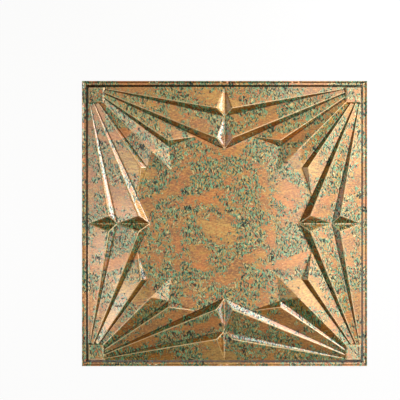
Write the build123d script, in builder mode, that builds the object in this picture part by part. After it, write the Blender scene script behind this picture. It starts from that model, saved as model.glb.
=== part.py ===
from build123d import *
from math import atan, degrees, radians, tan
import os

# A vinyl drop-in ceiling tile, thermoformed from one sheet, lying face up on its lip.
# Millimetres, +Z towards the room face, origin at the centre of the underside of the lip.

os.makedirs("parts", exist_ok=True)

# Sheet and outline
tile_side = 603.25  # sold as two feet, cut to drop into a grid with that pitch
sheet = 0.8

# Border, from the cut edge inwards
brim_width = 1.2
rim_width = 3.0
rim_rise = 2.2
lip_width = 4.3
step_width = 4.2
step_rise = 3.2
land = 0.8  # flat strip between the step and the relief

# Slots through the rim, in pairs at the middle and near the quarters of every side
slot_station = 150.8  # from the middle of a side to the pair near its quarter
slot_pitch = 14.0
slot_floor = 2.6
slot_draft = 1.6

# Corner block
block_side = 30.0
block_rise = 3.4
block_bevel = 4.6  # plan width of the two sides that face the tile's centre
block_draft = 0.8  # plan width of the two sides that face out

# Fan of rays: the valleys' angles from the tile's edge, seen from the corner of the step
edge_valley_angle = 12.7
second_valley_angle = 24.8
third_valley_angle = 36.5
narrow_angle = 2.7  # from each valley back to the ridge beside it

# Ends of the rays, as distances from the tile's centre lines
notch_half = 16.6  # half the width of the notch between two facing fans
third_outer_end = 58.0
third_inner_end = 118.4
corner_end = 112.0
corner_peak = 155.8

# Heights of the rays' peaks above the base
edge_height = 10.2
second_height = 12.9
third_height = 8.3
corner_height = 10.5

lip_half = tile_side / 2 - brim_width - rim_width
step_foot = lip_half - lip_width
relief_half = step_foot - step_width - land
block_foot = relief_half - block_draft - block_side - block_bevel
blank_side = tile_side + 2 * lip_width  # formed oversize, then cut to tile_side
core_depth = 4 * sheet  # stock under the lip while the form is still solid
lip_top = sheet
base_top = lip_top + step_rise
tallest = max(edge_height, second_height, third_height, corner_height, block_rise)

core_plane = Plane.XY.offset(-core_depth)
lip_plane = Plane.XY.offset(lip_top)
base_plane = Plane.XY.offset(base_top)
diagonal = Plane(origin=(0, 0, 0), x_dir=(1, 1, 0), z_dir=(1, -1, 0))


def on_line(angle, along):
    """The point at this distance along, on the line that leaves the fan's corner at this angle."""
    return (along, step_foot - (step_foot - along) * tan(radians(angle)))


def ray(foot, peak, height):
    """One pyramid of the fan: a foot outline on the base, and a peak over it."""
    with BuildSketch(base_plane, mode=Mode.PRIVATE) as outline:
        with BuildLine():
            Polyline(*foot, close=True)
        make_face()
    loft([outline.sketch, Vertex(*peak, base_top + height)], ruled=True)


# Fan of one corner: every valley and ridge springs from the corner of the step
fan_corner = (step_foot, step_foot)
edge_start = (step_foot - (step_foot - relief_half) / tan(radians(edge_valley_angle)), relief_half)
edge_valley = on_line(edge_valley_angle, 0)
second_valley = on_line(second_valley_angle, 0)
third_outer = on_line(second_valley_angle, third_outer_end)
third_inner = on_line(third_valley_angle, third_inner_end)
edge_peak = on_line(edge_valley_angle - narrow_angle, notch_half)
second_peak = on_line(second_valley_angle - narrow_angle, notch_half)
third_peak = on_line(third_valley_angle - narrow_angle, third_inner_end)

with BuildPart() as fan:
    ray([edge_start, (0, relief_half), edge_valley], edge_peak, edge_height)
    ray([fan_corner, edge_valley, second_valley], second_peak, second_height)
    ray([fan_corner, third_outer, third_inner], third_peak, third_height)
    mirror(about=diagonal)
    corner_foot = [fan_corner, third_inner, (corner_end, corner_end), third_inner[::-1]]
    ray(corner_foot, (corner_peak, corner_peak), corner_height)
    # The rays stop inside the block
    with BuildSketch(base_plane):
        with Locations((block_foot + 1.2 * block_bevel, block_foot + 1.2 * block_bevel)):
            Rectangle(2 * block_side, 2 * block_side, align=Align.MIN)
    extrude(amount=corner_height, mode=Mode.SUBTRACT)

# Corner block
with BuildPart() as block:
    with BuildSketch(base_plane):
        with Locations((block_foot, block_foot)):
            foot_side = relief_half - block_foot
            Rectangle(foot_side, foot_side, align=Align.MIN)
    with BuildSketch(base_plane.offset(block_rise)):
        with Locations((block_foot + block_bevel, block_foot + block_bevel)):
            Rectangle(block_side, block_side, align=Align.MIN)
    loft(ruled=True)

# The mould's form as one solid: rim, lip and raised base, with a fan and a block in each corner
with BuildPart() as form:
    with BuildSketch(core_plane):
        Rectangle(blank_side, blank_side)
    extrude(amount=core_depth + lip_top + rim_rise)
    with BuildSketch(lip_plane):
        Rectangle(2 * lip_half, 2 * lip_half)
    extrude(amount=rim_rise, taper=-degrees(atan(rim_width / rim_rise)), mode=Mode.SUBTRACT)
    with BuildSketch(lip_plane):
        with PolarLocations(tile_side / 2, 4):
            for station in (-slot_station, 0, slot_station):
                with Locations((0, station - slot_pitch / 2), (0, station + slot_pitch / 2)):
                    Rectangle(2 * (brim_width + rim_width + slot_draft), slot_floor)
    extrude(amount=rim_rise, taper=-degrees(atan(slot_draft / rim_rise)), mode=Mode.SUBTRACT)
    with BuildSketch(lip_plane):
        Rectangle(2 * step_foot, 2 * step_foot)
    extrude(amount=step_rise, taper=degrees(atan(step_width / step_rise)))
    for piece in (fan.part, block.part):
        left = mirror(piece, about=Plane.YZ, mode=Mode.PRIVATE)
        for corner in (piece, left):
            add(corner)
            add(mirror(corner, about=Plane.XZ, mode=Mode.PRIVATE))

# The sheet drawn over the form, then cut to size
with BuildPart() as ceiling_tile:
    add(form.part)
    with Locations((0, 0, -sheet)):
        add(form.part, mode=Mode.SUBTRACT)
    with BuildSketch(core_plane):
        Rectangle(tile_side, tile_side)
    extrude(amount=core_depth + base_top + 2 * tallest, mode=Mode.INTERSECT)

ceiling_tile.part.label = "ceiling_tile"
export_step(ceiling_tile.part, "parts/ceiling_tile.step")
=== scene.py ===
import math

import bmesh
import bpy
import numpy as np
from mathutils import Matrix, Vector


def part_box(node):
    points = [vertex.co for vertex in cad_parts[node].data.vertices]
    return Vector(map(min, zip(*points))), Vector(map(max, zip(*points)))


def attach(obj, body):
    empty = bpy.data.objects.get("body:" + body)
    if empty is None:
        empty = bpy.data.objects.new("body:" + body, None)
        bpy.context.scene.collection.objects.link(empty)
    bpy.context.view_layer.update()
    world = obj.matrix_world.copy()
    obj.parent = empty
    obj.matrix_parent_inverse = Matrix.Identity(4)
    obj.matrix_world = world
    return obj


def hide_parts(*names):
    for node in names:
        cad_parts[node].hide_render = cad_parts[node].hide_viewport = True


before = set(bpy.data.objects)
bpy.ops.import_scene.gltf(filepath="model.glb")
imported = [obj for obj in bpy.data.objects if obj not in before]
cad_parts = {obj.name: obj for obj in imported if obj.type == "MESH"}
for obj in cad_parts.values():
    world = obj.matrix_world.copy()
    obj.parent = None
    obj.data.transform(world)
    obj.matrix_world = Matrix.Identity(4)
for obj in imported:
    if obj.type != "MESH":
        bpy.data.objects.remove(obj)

scene = bpy.context.scene
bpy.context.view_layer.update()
low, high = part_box("ceiling_tile")


def tone(red, green, blue):  # a colour as seen on a screen, 0 to 255, to a linear one
    part = np.array([red, green, blue]) / 255.0
    linear = np.where(part <= 0.04045, part / 12.92, ((part + 0.055) / 1.055) ** 2.4)
    return (*linear.tolist(), 1.0)


class Wire:  # a socket that takes part in arithmetic
    def __init__(self, tree, socket=None):
        self.tree = tree
        self.socket = socket

    def node(self, kind, settings, inputs, output=0):
        made = self.tree.nodes.new(kind)
        for name, value in settings.items():
            setattr(made, name, value)
        for name, value in inputs.items():
            if isinstance(value, Wire):
                self.tree.links.new(value.socket, made.inputs[name])
            else:
                made.inputs[name].default_value = value
        return Wire(self.tree, made.outputs[output] if made.outputs else None)

    def maths(self, operation, first, second):
        return self.node("ShaderNodeMath", {"operation": operation}, {0: first, 1: second})

    def __add__(self, other):
        return self.maths("ADD", self, other)

    def __radd__(self, other):
        return self.maths("ADD", other, self)

    def __sub__(self, other):
        return self.maths("SUBTRACT", self, other)

    def __rsub__(self, other):
        return self.maths("SUBTRACT", other, self)

    def __mul__(self, other):
        return self.maths("MULTIPLY", self, other)

    def __rmul__(self, other):
        return self.maths("MULTIPLY", other, self)

    def __truediv__(self, other):
        return self.maths("DIVIDE", self, other)

    def ramp(self, start, end):  # smooth step from 0 at start to 1 at end
        settings = {"interpolation_type": "SMOOTHSTEP"}
        return self.node("ShaderNodeMapRange", settings, {"Value": self, "From Min": start, "From Max": end})

    def mix(self, first, second):  # this factor of the second colour over the first
        return self.node("ShaderNodeMix", {"data_type": "RGBA"}, {0: self, 6: first, 7: second}, 2)

    def noise(self, scale, detail, rough=0.5, warp=0.0, output=0):  # fractal noise at this place
        inputs = {"Vector": self, "Scale": scale, "Detail": detail, "Roughness": rough, "Distortion": warp}
        return self.node("ShaderNodeTexNoise", {}, inputs, output)

    def shift(self, other):  # vector sum
        return self.node("ShaderNodeVectorMath", {"operation": "ADD"}, {0: self, 1: other})

    def stretch(self, other):  # vector product, part by part
        return self.node("ShaderNodeVectorMath", {"operation": "MULTIPLY"}, {0: self, 1: other})

    def turn(self, degrees, factors):  # turned about Z, then scaled
        inputs = {"Vector": self, "Rotation": (0, 0, math.radians(degrees)), "Scale": factors}
        return self.node("ShaderNodeMapping", {"vector_type": "POINT"}, inputs)


# Camera: square-on from above, far off with a long lens
camera = {
    "distance": 6.0,
    "frameWidth": 0.8456,   # what the picture spans at the tile
    "aside": -0.0520,
    "up": 0.0498,
}
cameraData = bpy.data.cameras.new("camera")
cameraData.lens = cameraData.sensor_width * camera["distance"] / camera["frameWidth"]
cameraData.clip_end = 50.0
eye = bpy.data.objects.new("camera", cameraData)
eye.location = (camera["aside"], camera["up"], camera["distance"] + 0.007)
scene.collection.objects.link(eye)
scene.camera = eye
print("camera made")


# Tile: one sheet, drawn as a height over the plan
half = high.x
tile = {  # metres; "along" runs from a centre line, "out" towards the nearer side
    "sheet": 0.0008,
    "rimHalf": half - 0.0012,
    "lipHalf": half - 0.0042,
    "stepFoot": half - 0.0085,
    "baseHalf": half - 0.0127,
    "reliefHalf": half - 0.0135,
    "blockFoot": half - 0.0489,
    "rimRise": 0.0022,
    "stepRise": 0.0032,
    "blockRise": 0.0034,
    "blockBevel": 0.0046,
    "blockDraft": 0.0008,
    "slots": (0.0070, 0.1438, 0.1578),  # along, to the middles of the rim's slots
    "slotFloor": 0.0026,
    "slotDraft": 0.0016,
    "valleys": (12.7, 24.8, 36.5),  # degrees from the side, at the corner of the step
    "narrow": 2.7,
    "notchHalf": 0.0166,
    "thirdOuter": 0.0580,
    "thirdInner": 0.1184,
    "cornerEnd": 0.1120,
    "cornerPeak": 0.1558,
    "heights": (0.0102, 0.0129, 0.0083, 0.0105),
    "softCentre": 0.0013,  # radius of the creases at a centre line
    "softCorner": 0.0004,
    "softNotch": 0.0011,  # added where two fans meet
    "notchReach": 0.003,  # along, of what is softer there
    "wave": 0.00022,
    "calmReach": 0.06,  # from the relief's edge in, where the waves fade out
    "paintedLight": 0.0018,  # reach of the painted ridge highlights and painted crease shade
    "paintedLightGain": 2.6,
    "paintedLightPower": 0.6,
    "broadRows": 9,
    "narrowRows": 5,
    "columns": (6, 10, 6, 14),
}
foot, rise, edgeOut = tile["stepFoot"], tile["heights"], tile["reliefHalf"]
blockFoot = tile["blockFoot"]
lipTop = tile["sheet"]
baseTop = lipTop + tile["stepRise"]


def onLine(degrees, along):  # point of a line that leaves the step's corner at this angle
    return (along, foot - (foot - along) * math.tan(math.radians(degrees)))


firstValley, secondValley, thirdValley = tile["valleys"]
fanCorner = (foot, foot)
edgeStart = (foot - (foot - edgeOut) / math.tan(math.radians(firstValley)), edgeOut)
edgeMiddle = (0.0, edgeOut)
edgeToe = onLine(firstValley, 0.0)
secondToe = onLine(secondValley, 0.0)
thirdOuter = onLine(secondValley, tile["thirdOuter"])
thirdInner = onLine(thirdValley, tile["thirdInner"])
cornerTip = (tile["cornerEnd"], tile["cornerEnd"])
edgePeak = onLine(firstValley - tile["narrow"], tile["notchHalf"])
secondPeak = onLine(secondValley - tile["narrow"], tile["notchHalf"])
thirdPeak = onLine(thirdValley - tile["narrow"], tile["thirdInner"])
cornerPeak = (tile["cornerPeak"], tile["cornerPeak"])


def facet(first, second, peak, height):  # plane that is 0 at two points and this high at the peak
    rows = np.array([(1.0, *first), (1.0, *second), (1.0, *peak)])
    return np.linalg.solve(rows, np.array([0.0, 0.0, height]))


rays = (
    [facet(edgeStart, edgeMiddle, edgePeak, rise[0]), facet(edgeMiddle, edgeToe, edgePeak, rise[0]),
     facet(edgeToe, edgeStart, edgePeak, rise[0])],
    [facet(fanCorner, edgeToe, secondPeak, rise[1]), facet(edgeToe, secondToe, secondPeak, rise[1]),
     facet(secondToe, fanCorner, secondPeak, rise[1])],
    [facet(fanCorner, thirdOuter, thirdPeak, rise[2]), facet(thirdOuter, thirdInner, thirdPeak, rise[2]),
     facet(thirdInner, fanCorner, thirdPeak, rise[2])],
    [facet(fanCorner, thirdInner, cornerPeak, rise[3]), facet(thirdInner, cornerTip, cornerPeak, rise[3])],
)
borderOut = [0.0, tile["baseHalf"], foot, tile["lipHalf"], tile["rimHalf"], half]
borderTop = [baseTop, baseTop, lipTop, lipTop, lipTop + tile["rimRise"], lipTop + tile["rimRise"]]


# Border profile, and over it the highest of the rays and the block; a ray is the lowest of its planes
def sharpHeight(x, y):
    along = np.minimum(abs(x), abs(y))
    out = np.maximum(abs(x), abs(y))
    relief = np.zeros_like(along)
    for planes in rays:
        relief = np.maximum(relief, np.min([c[0] + c[1] * along + c[2] * out for c in planes], axis=0))
    inwards = np.minimum((along - blockFoot) / tile["blockBevel"], (edgeOut - out) / tile["blockDraft"])
    relief = np.maximum(relief, tile["blockRise"] * np.clip(inwards, 0.0, 1.0))
    border = np.interp(out, borderOut, borderTop)
    aside = np.min([abs(along - middle) for middle in tile["slots"]], axis=0) - tile["slotFloor"] / 2
    slotTop = lipTop + tile["rimRise"] * np.clip(aside / tile["slotDraft"], 0.0, 1.0)
    return np.where(out > foot, np.minimum(border, slotTop), border) + relief


# Mean of the sharp height over a small disc, and slow waves of the stretched sheet
def softHeight(x, y):
    along = np.minimum(abs(x), abs(y))
    out = np.maximum(abs(x), abs(y))
    fade = np.clip(along / blockFoot, 0.0, 1.0) * (out < edgeOut) + (out >= edgeOut)
    radius = tile["softCentre"] + (tile["softCorner"] - tile["softCentre"]) * fade
    radius = radius + tile["softNotch"] * np.exp(-(along / tile["notchReach"]) ** 2)
    radius = np.minimum(radius, np.maximum(tile["softCorner"], 0.25 * abs(out - edgeOut)))
    ringAngle = np.concatenate([np.arange(6) * math.pi / 3, np.arange(12) * math.pi / 6])
    ringSize = np.concatenate([np.full(6, 0.5), np.full(12, 0.95)])
    total = sharpHeight(x, y)
    for angle, size in zip(ringAngle, ringSize):
        total = total + sharpHeight(x + radius * size * math.cos(angle), y + radius * size * math.sin(angle))
    waves = np.sin(19 * x + 7 * y) + np.sin(11 * x - 23 * y + 1.0) + 0.6 * np.sin(41 * x + 29 * y + 2.0)
    calm = np.clip((edgeOut - out) / tile["calmReach"], 0.0, 1.0)
    return total / (len(ringAngle) + 1) + tile["wave"] * calm * waves


# Painted light: near 1 on a ridge, for a painted highlight, and -1 in a valley and on the step, for painted
# shade: a power of the height less its mean over a ring
def ridgeHighlightCreaseShade(x, y):
    ring = np.arange(12) * math.pi / 6
    around = [sharpHeight(x + tile["paintedLight"] * math.cos(a), y + tile["paintedLight"] * math.sin(a)) for a in ring]
    bulge = tile["paintedLightGain"] * (sharpHeight(x, y) - np.mean(around, axis=0)) / tile["paintedLight"]
    paintedLight = np.clip(np.sign(bulge) * abs(bulge) ** tile["paintedLightPower"], -1.0, 1.0)
    out = np.maximum(abs(x), abs(y))
    onStep = (out > tile["baseHalf"] - 0.0002) & (out < foot + 0.0006)
    inNotch = (np.minimum(abs(x), abs(y)) < tile["notchReach"]) & (out < edgeOut)
    return np.where(onStep, -0.8, np.where(inNotch, np.maximum(paintedLight, 0.0), paintedLight) * (out < foot))


def crowd(count):  # fractions that crowd to both ends, half of one minus the cosine
    return (1 - np.cos(math.pi * np.arange(count + 1) / count)) / 2


def lineThrough(first, second):  # out at the centre line and at the block's foot
    slope = (second[1] - first[1]) / (second[0] - first[0])
    start = first[1] - slope * first[0]
    return (start, start + slope * blockFoot)


keyRows = [
    (0.0, blockFoot), lineThrough(thirdInner, fanCorner), lineThrough(thirdPeak, fanCorner),
    lineThrough(secondToe, fanCorner), lineThrough(secondPeak, fanCorner), lineThrough(edgeToe, fanCorner),
    lineThrough(edgePeak, edgeStart), (edgeOut, edgeOut),
]
notch = tile["notchHalf"]
keyColumns = [  # along, for each key row: centre line, notch, ends of the rays from below and above, block
    [0.0] * 8,
    [0.02, 0.03, 0.02, 0.0, notch, 0.0, notch, 0.0],
    [tile["cornerEnd"], tile["thirdInner"], 0.0, tile["thirdOuter"], 0.075, 0.070, 0.080, 0.080],
    [tile["cornerPeak"], tile["thirdInner"], tile["thirdInner"], tile["thirdOuter"], 0.11, 0.11, 0.13, 0.13],
    [blockFoot] * 8,
]
ridgeSlope = (keyRows[2][1] - keyRows[2][0]) / blockFoot  # the third ray's foot line meets its ridge row here
endSlope = (thirdInner[1] - thirdOuter[1]) / (thirdInner[0] - thirdOuter[0])
keyColumns[2][2] = (thirdOuter[1] - endSlope * thirdOuter[0] - keyRows[2][0]) / (ridgeSlope - endSlope)


def outAt(row, along):  # where a key row is at this distance along
    return row[0] + (row[1] - row[0]) * along / blockFoot


bands = []
for index in range(7):
    count = tile["broadRows"] if index % 2 == 0 else tile["narrowRows"]
    share = crowd(count)[:-1] if index < 6 else crowd(count)
    start = keyRows[index][0] + (keyRows[index + 1][0] - keyRows[index][0]) * share
    end = keyRows[index][1] + (keyRows[index + 1][1] - keyRows[index][1]) * share
    crossings = []
    for column in keyColumns:  # where the row cuts the straight joint between two key points
        nearAlong, farAlong = column[index], column[index + 1]
        nearGap = outAt(keyRows[index], nearAlong) - start - (end - start) * nearAlong / blockFoot
        farGap = outAt(keyRows[index + 1], farAlong) - start - (end - start) * farAlong / blockFoot
        part = nearGap / (nearGap - farGap)
        crossings.append(nearAlong + (farAlong - nearAlong) * part)
    bands.append((start, end, np.stack(crossings, axis=1)))
rowStart = np.concatenate([band[0] for band in bands])
rowEnd = np.concatenate([band[1] for band in bands])
crossing = np.concatenate([band[2] for band in bands])
slotEdge = tile["slotFloor"] / 2 + tile["slotDraft"]
slotParts = slotEdge * np.array([-1.0, -0.5, 0.0, 0.5, 1.0])
slotLines = (np.array(tile["slots"])[:, None] + slotParts).ravel()
spans = []
for index, count in enumerate(tile["columns"]):  # more columns where the outermost row meets a slot
    inner, outer = crossing[-1, index], crossing[-1, index + 1]
    extra = (slotLines - inner) / max(outer - inner, 1e-6)
    share = np.union1d(crowd(count), extra[(extra > 0.0) & (extra < 1.0)])
    share = share[:-1] if index < 3 else share
    nearSide, farSide = crossing[:, index:index + 1], crossing[:, index + 1:index + 2]
    spans.append(nearSide + (farSide - nearSide) * share)
fanAlong = np.concatenate(spans, axis=1)
fanOut = rowStart[:, None] + (rowEnd - rowStart)[:, None] * fanAlong / blockFoot
blockAlong = np.minimum(rowEnd[None, :], rowEnd[:, None])  # half of a square grid, folded on the diagonal
blockOut = np.broadcast_to(rowEnd[:, None], blockAlong.shape)
borderSteps = np.concatenate([
    edgeOut + (tile["baseHalf"] - edgeOut) * np.array([0.0, 0.5]),
    tile["baseHalf"] + (foot - tile["baseHalf"]) * crowd(5)[:-1],
    foot + (tile["lipHalf"] - foot) * crowd(4)[:-1],
    tile["lipHalf"] + (tile["rimHalf"] - tile["lipHalf"]) * crowd(4)[:-1],
    tile["rimHalf"] + (half - tile["rimHalf"]) * crowd(3),
])
edgeAlong = np.concatenate([fanAlong[-1], rowEnd[1:]])
spread = (borderSteps[:, None] - blockFoot) / (edgeOut - blockFoot)  # mitred at the corners
borderAlong = np.minimum(edgeAlong, blockFoot) + np.maximum(edgeAlong - blockFoot, 0.0) * spread
borderOutGrid = np.broadcast_to(borderSteps[:, None], borderAlong.shape)


def quads(rows, columns, start):  # corners of a grid's cells, in turn
    first = start + np.arange(rows - 1)[:, None] * columns + np.arange(columns - 1)[None, :]
    return np.stack([first, first + 1, first + columns + 1, first + columns], axis=-1).reshape(-1, 4)


points, cells, count = [], [], 0
for along, out in ((fanAlong, fanOut), (blockAlong, blockOut), (borderAlong, borderOutGrid)):
    for swap in (False, True):
        for signX in (1, -1):
            for signY in (1, -1):
                x = signX * (out if swap else along)
                y = signY * (along if swap else out)
                grid = quads(*along.shape, count)
                upward = (signX * signY > 0) != swap
                cells.append(grid if upward else grid[:, ::-1])
                points.append(np.stack([x.ravel(), y.ravel(), np.zeros(x.size)], axis=-1))
                count += x.size
plan = bpy.data.meshes.new("plan")
plan.from_pydata(np.concatenate(points).tolist(), [], np.concatenate(cells).tolist())
work = bmesh.new()
work.from_mesh(plan)
bmesh.ops.remove_doubles(work, verts=work.verts, dist=2e-6)
work.to_mesh(plan)
work.free()

flat = np.empty(len(plan.vertices) * 3)
plan.vertices.foreach_get("co", flat)
flat = flat.reshape(-1, 3)
top = np.column_stack([flat[:, 0], flat[:, 1], softHeight(flat[:, 0], flat[:, 1])])
under = top - np.array([0.0, 0.0, tile["sheet"]])
topFaces = [list(face.vertices) for face in plan.polygons]
underFaces = [[index + len(top) for index in reversed(face)] for face in topFaces]
edges = np.array([pair for face in topFaces for pair in zip(face, face[1:] + face[:1])])
edgeKey = np.sort(edges, axis=1) @ np.array([len(top), 1])
firsts, counts = np.unique(edgeKey, return_index=True, return_counts=True)[1:]
rim = edges[firsts[counts == 1]]  # edges of one face alone
wallFaces = np.column_stack([rim[:, 1], rim[:, 0], rim[:, 0] + len(top), rim[:, 1] + len(top)]).tolist()
shell = bpy.data.meshes.new("ceilingTile")
shell.from_pydata(np.concatenate([top, under]).tolist(), [], topFaces + underFaces + wallFaces)
shell.validate()
shell.polygons.foreach_set("use_smooth", [True] * len(shell.polygons))
shell.set_sharp_from_angle(angle=math.radians(40))
printed = shell.attributes.new("printed", "FLOAT", "FACE")
printed.data.foreach_set("value", [1.0] * len(topFaces) + [0.0] * (len(underFaces) + len(wallFaces)))
paintedLight = shell.attributes.new("paintedLight", "FLOAT", "POINT")
paintedLight.data.foreach_set("value", np.concatenate([ridgeHighlightCreaseShade(top[:, 0], top[:, 1]), np.zeros(len(under))]))
piece = bpy.data.objects.new("ceilingTile", shell)
scene.collection.objects.link(piece)
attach(piece, "root")
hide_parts("ceiling_tile")
print("tile made", len(shell.vertices), "vertices", len(shell.polygons), "faces")


# Print: copper with clusters of verdigris, laid on the sheet in plan
printing = {  # the print repeats in columns, each half a repeat off the last
    "across": 0.1839,
    "up": 0.2685,
    "drift": 0.025,  # how far the print wanders
    "grain": 420.0,
    "bumpStrength": 0.25,
    "bumpDepth": 0.0003,
    "coatRough": 0.18,
    "coatIor": 2.05,
    "gold": [(-0.010, -0.012, -25.0, 0.042, 0.019)],  # marks are x, y, degrees, half length, half width
    "warm": [(-0.041, 0.054, 15.0, 0.042, 0.010), (-0.052, -0.089, -30.0, 0.024, 0.006)],
    "bare": [
        (-0.150, 0.051, 29.0, 0.064, 0.008), (-0.081, 0.100, -75.0, 0.024, 0.011),
        (-0.106, 0.074, 0.0, 0.012, 0.012), (-0.052, -0.066, -40.0, 0.030, 0.016),
        (0.010, -0.114, 15.0, 0.026, 0.012), (0.083, 0.052, -70.0, 0.016, 0.008),
        (0.080, 0.100, -80.0, 0.020, 0.009),
    ],
    "thick": [
        (-0.036, 0.100, 20.0, 0.042, 0.028), (-0.110, 0.026, 10.0, 0.046, 0.015),
        (-0.065, -0.020, -30.0, 0.030, 0.020), (-0.020, -0.048, -32.0, 0.036, 0.009),
        (0.062, 0.015, 0.0, 0.030, 0.026), (0.114, 0.031, 0.0, 0.026, 0.016),
        (-0.128, 0.088, 0.0, 0.026, 0.022),
    ],
    "knot": [
        (-0.075, 0.034, 0.0, 0.006, 0.006), (-0.009, 0.053, 0.0, 0.006, 0.004),
        (0.011, 0.026, 0.0, 0.008, 0.006), (-0.083, 0.064, 0.0, 0.007, 0.007),
        (0.040, -0.002, 0.0, 0.007, 0.007),
    ],
}
vinyl = bpy.data.materials.new("printedVinyl")
vinyl.use_nodes = True
vinyl.node_tree.nodes.clear()
w = Wire(vinyl.node_tree)
place = w.node("ShaderNodeTexCoord", {}, {}, "Object").stretch((1.0, 1.0, 0.0))
drift = place.noise(10.0, 3.0, output="Color").shift((-0.5, -0.5, -0.5))
loose = place.shift(drift.stretch((printing["drift"], printing["drift"], 0.0)))
fray = loose.shift((6.0, 2.0, 0.0)).turn(-16.0, (1.0, 1.5, 1.0)).noise(48.0, 6.0, 0.75)


def marks(kind):  # ragged brush marks and their repeats, 1 at the middle of a mark
    width, repeat = printing["across"], printing["up"]
    whole = None
    for x, y, degrees, halfLength, halfWidth in printing[kind]:
        apart = loose.shift((-x, -y, 0.0))
        across = w.node("ShaderNodeSeparateXYZ", {}, {0: apart}, "X")
        up = w.node("ShaderNodeSeparateXYZ", {}, {0: apart}, "Y")
        column = w.node("ShaderNodeMath", {"operation": "ROUND"}, {0: across / width})
        lift = up - 0.5 * repeat * column
        lift = w.node("ShaderNodeMath", {"operation": "WRAP"}, {0: lift, 1: 0.5 * repeat, 2: -0.5 * repeat})
        near = w.node("ShaderNodeCombineXYZ", {}, {0: across - width * column, 1: lift})
        near = near.turn(-degrees, (1.0, 1.0, 1.0)).stretch((1.0 / halfLength, 1.0 / halfWidth, 0.0))
        size = w.node("ShaderNodeVectorMath", {"operation": "LENGTH"}, {0: near}, "Value")
        one = (size + 6.0 * (fray - 0.5)).ramp(1.6, 0.3)
        whole = one if whole is None else w.maths("MAXIMUM", whole, one)
    return whole


cloud = loose.turn(-18.0, (1.0, 2.2, 1.0)).noise(14.0, 5.0, 0.6)
streak = loose.turn(-14.0, (1.0, 2.4, 1.0)).noise(75.0, 5.0, 0.75)
gold = loose.shift((3.0, 1.0, 0.0)).noise(22.0, 6.0, 0.7).ramp(0.52, 0.62)
blush = loose.shift((7.0, 4.0, 0.0)).noise(24.0, 6.0, 0.7).ramp(0.48, 0.60)
goldMark = marks("gold")
warmMark = marks("warm")
thick = marks("thick")
knot = marks("knot")
fibre = loose.turn(-20.0, (1.0, 1.8, 1.0)).noise(170.0, 3.0, 0.65)
brushed = (0.4 * cloud + 0.35 * streak + 0.25 * fibre).ramp(0.41, 0.59)
copper = brushed.mix(tone(138, 82, 16), tone(200, 132, 42))
copper = (gold * 0.6).mix(copper, tone(190, 144, 34))
copper = (blush * 0.5).mix(copper, tone(202, 112, 38))
copper = (warmMark * 0.7).mix(copper, tone(210, 122, 26))
copper = (goldMark * (0.35 + 0.6 * streak.ramp(0.45, 0.58))).mix(copper, tone(206, 166, 76))
copper = (0.5 * fibre.ramp(0.47, 0.35)).mix(copper, tone(104, 60, 14))
copper = (0.5 * fibre.ramp(0.53, 0.65)).mix(copper, tone(232, 180, 88))

patch = loose.shift((1.3, 2.2, 0.0)).noise(16.0, 8.0, 0.68, 0.4)
bare = 1.0 - (1.0 - goldMark) * (1.0 - warmMark) * (1.0 - marks("bare"))
clump = place.shift((8.0, 1.0, 0.0)).noise(62.0, 3.0, 0.6)
laid = 0.4 * patch + 0.45 * clump + 0.05 * thick - 0.17 * bare + 0.098
dense = w.maths("MAXIMUM", laid.ramp(0.41, 0.55), knot)
sparse = laid.ramp(0.36, 0.52)
bend = place.noise(44.0, 2.0, output="Color").stretch((0.020, 0.020, 0.0))
stroke = place.shift(bend).turn(35.0, (1.0, 0.48, 1.0))
speck = stroke.noise(310.0, 2.0, 0.6)
blot = stroke.shift((5.0, 3.0, 0.0)).noise(330.0, 1.5, 0.6)
spark = stroke.shift((2.0, 8.0, 0.0)).noise(330.0, 1.5, 0.6)
scratchy = loose.shift((5.0, 9.0, 0.0)).noise(26.0, 4.0, 0.6).ramp(0.46, 0.56)
tealPart = (speck + 0.26 * dense - 0.03 * scratchy - 0.235).ramp(0.455, 0.485)
darkPart = (blot + 0.20 * dense + 0.08 * knot - 0.20).ramp(0.53, 0.56)
creamPart = (spark + 0.24 * dense + 0.05 * scratchy - 0.26).ramp(0.53, 0.56)
warmPart = (1.0 - spark + 0.14 * sparse - 0.14).ramp(0.53, 0.57)
pale = place.shift((4.0, 6.0, 0.0)).noise(90.0, 2.0).ramp(0.38, 0.62)
teal = pale.mix(tone(30, 106, 68), tone(106, 172, 122))
yellow = place.shift((9.0, 2.0, 0.0)).noise(60.0, 2.0).ramp(0.44, 0.56)
fleck = yellow.mix(tone(208, 100, 20), tone(206, 150, 36))
colour = (dense * 0.6).mix(copper, tone(138, 108, 50))
colour = (creamPart * 0.85).mix(colour, tone(232, 207, 138))
colour = tealPart.mix(colour, teal)
colour = (warmPart * 0.8).mix(colour, fleck)
colour = (darkPart * (0.88 + 0.12 * knot)).mix(colour, tone(8, 22, 12))
cover = 1.0 - (1.0 - tealPart * (1.0 - warmPart)) * (1.0 - darkPart)
paintedLight = w.node("ShaderNodeAttribute", {"attribute_name": "paintedLight"}, {}, "Fac")
# painted highlight: a pale line along the ridges
colour = (0.7 * paintedLight.ramp(0.2, 0.9)).mix(colour, tone(240, 206, 150))
# painted shade: dark in the valleys and on the border's step, where the coat is also thinned
paintedShade = paintedLight.ramp(-0.15, -0.8)
colour = (0.8 * paintedShade).mix(colour, tone(30, 22, 10))

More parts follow.
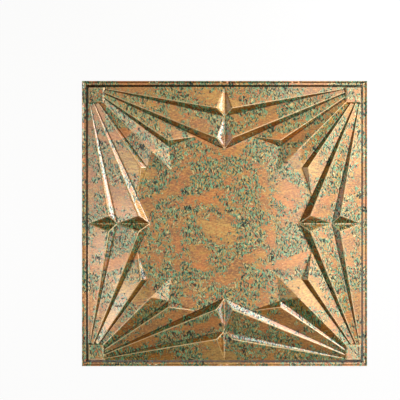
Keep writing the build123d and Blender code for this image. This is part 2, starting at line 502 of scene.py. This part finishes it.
front = w.node("ShaderNodeAttribute", {"attribute_name": "printed"}, {}, "Fac")
base = front.mix(tone(196, 192, 184), colour)
metal = front * (0.90 - 0.50 * cover)
rough = 0.55 - 0.12 * front
coat = front * (1.0 - 0.8 * darkPart) * (1.0 - 0.8 * paintedShade)
relief = place.noise(printing["grain"], 2.0, 0.5) + 0.6 * cover
bump = w.node("ShaderNodeBump", {}, {
    "Strength": printing["bumpStrength"], "Distance": printing["bumpDepth"], "Height": relief,
})
skin = w.node("ShaderNodeBsdfPrincipled", {}, {
    "Base Color": base, "Metallic": metal, "Roughness": rough, "Normal": bump, "Coat Weight": coat,
    "Coat Roughness": printing["coatRough"], "Coat IOR": printing["coatIor"],
})
w.node("ShaderNodeOutputMaterial", {}, {"Surface": skin})
piece.data.materials.append(vinyl)
print("print made")


# Floor: pale and plain
floor = {"reach": 30.0, "colour": tone(248, 248, 248), "lift": 0.92}
corners = floor["reach"] * np.array([[-1, -1, 0], [1, -1, 0], [1, 1, 0], [-1, 1, 0]], float)
ground = bpy.data.meshes.new("floor")
ground.from_pydata(corners.tolist(), [], [[0, 1, 2, 3]])
floorPiece = bpy.data.objects.new("floor", ground)
floorPiece.location = (0.0, 0.0, low.z - 0.0002)
scene.collection.objects.link(floorPiece)
paint = bpy.data.materials.new("floorPaint")
paint.use_nodes = True
paint.node_tree.nodes.clear()
w = Wire(paint.node_tree)
matte = w.node("ShaderNodeBsdfPrincipled", {}, {
    "Base Color": floor["colour"], "Roughness": 0.9, "Specular IOR Level": 0.1,
})
bright = w.node("ShaderNodeEmission", {}, {"Color": tone(255, 255, 255), "Strength": 1.0})
seen = w.node("ShaderNodeLightPath", {}, {}, "Is Camera Ray")
seen = seen + w.node("ShaderNodeLightPath", {}, {}, "Is Glossy Ray")
seen = seen + w.node("ShaderNodeLightPath", {}, {}, "Is Transmission Ray")
both = w.node("ShaderNodeMixShader", {}, {0: floor["lift"] * seen, 1: matte, 2: bright})
w.node("ShaderNodeOutputMaterial", {}, {"Surface": both})
ground.materials.append(paint)
print("floor made")


# Light: panels overhead on all sides of the camera and softboxes standing round the tile
sky = bpy.data.worlds.new("studio")
scene.world = sky
sky.use_nodes = True
sky.node_tree.nodes.clear()
w = Wire(sky.node_tree)
glow = w.node("ShaderNodeBackground", {}, {"Color": tone(255, 252, 247), "Strength": 0.04})
w.node("ShaderNodeOutputWorld", {}, {"Surface": glow})
warm, plain, cool = tone(255, 236, 198), tone(255, 249, 236), tone(240, 244, 255)
lamps = {  # size is across by up, radiance is what a mirror would show; a panel looks straight down
    "panelEast": {"place": (0.63, 0.00, 1.0), "size": (0.45, 0.90), "radiance": 2.6, "tint": plain},
    "panelFarEast": {"place": (1.05, 0.45, 1.0), "size": (0.40, 0.70), "radiance": 2.8, "tint": plain},
    "panelMiddle": {"place": (0.27, 0.32, 1.0), "size": (0.26, 1.70), "radiance": 2.4, "tint": plain},
    "panelZenith": {"place": (-0.20, 0.00, 1.0), "size": (0.68, 1.10), "radiance": 0.66, "tint": plain},
    "panelNorth": {"place": (-0.07, 0.80, 1.0), "size": (0.60, 0.50), "radiance": 1.05, "tint": warm},
    "panelSouth": {"place": (0.13, -0.78, 1.0), "size": (0.50, 0.30), "radiance": 0.6, "tint": warm},
    "panelWest": {"place": (-0.80, 0.07, 1.0), "size": (0.36, 0.40), "radiance": 1.8, "tint": plain},
    "panelNearWest": {"place": (-0.50, -0.19, 0.6), "size": (0.20, 0.30), "radiance": 2.9, "tint": plain},
    "boxNortheast": {
        "place": (0.59, 0.31, 0.250), "aim": (0.0, -0.28, 0.250), "size": (0.54, 0.20),
        "radiance": 4.8, "tint": cool,
    },
    "boxFarNortheast": {
        "place": (0.88, 0.32, 0.35), "aim": (0.0, -0.56, 0.35), "size": (0.50, 0.30),
        "radiance": 3.0, "tint": cool,
    },
    "boxLowNorth": {
        "place": (0.53, 0.67, 0.105), "aim": (0.0, 0.14, 0.105), "size": (0.48, 0.19),
        "radiance": 5.0, "tint": cool,
    },
    "boxNorth": {
        "place": (0.49, 1.20, 0.42), "aim": (0.0, 0.0, 0.42), "size": (0.24, 0.26),
        "radiance": 5.2, "tint": cool,
    },
    "boxEast": {
        "place": (0.90, -0.15, 0.18), "aim": (0.0, -0.15, 0.18), "size": (0.50, 0.34),
        "radiance": 3.4, "tint": cool,
    },
    "boxSouth": {
        "place": (0.0, -0.80, 0.08), "aim": (0.0, 0.0, 0.08), "size": (0.80, 0.14),
        "radiance": 4.6, "tint": cool,
    },
    "boxWest": {
        "place": (-0.80, 0.02, 0.30), "aim": (0.0, 0.02, 0.30), "size": (0.68, 0.40),
        "radiance": 0.9, "tint": cool,
    },
}
for name, given in lamps.items():
    lamp = bpy.data.lights.new(name, "AREA")
    lamp.shape = "RECTANGLE"
    lamp.size, lamp.size_y = given["size"]
    lamp.color = given["tint"][:3]
    lamp.energy = given["radiance"] * math.pi * lamp.size * lamp.size_y
    lampPiece = bpy.data.objects.new(name, lamp)
    lampPiece.location = given["place"]
    aim = given.get("aim", (*given["place"][:2], 0.0))
    lampPiece.rotation_euler = (Vector(aim) - lampPiece.location).to_track_quat("-Z", "Y").to_euler()
    lampPiece.visible_camera = False
    scene.collection.objects.link(lampPiece)
print("light made")

scene.view_settings.view_transform = "Standard"
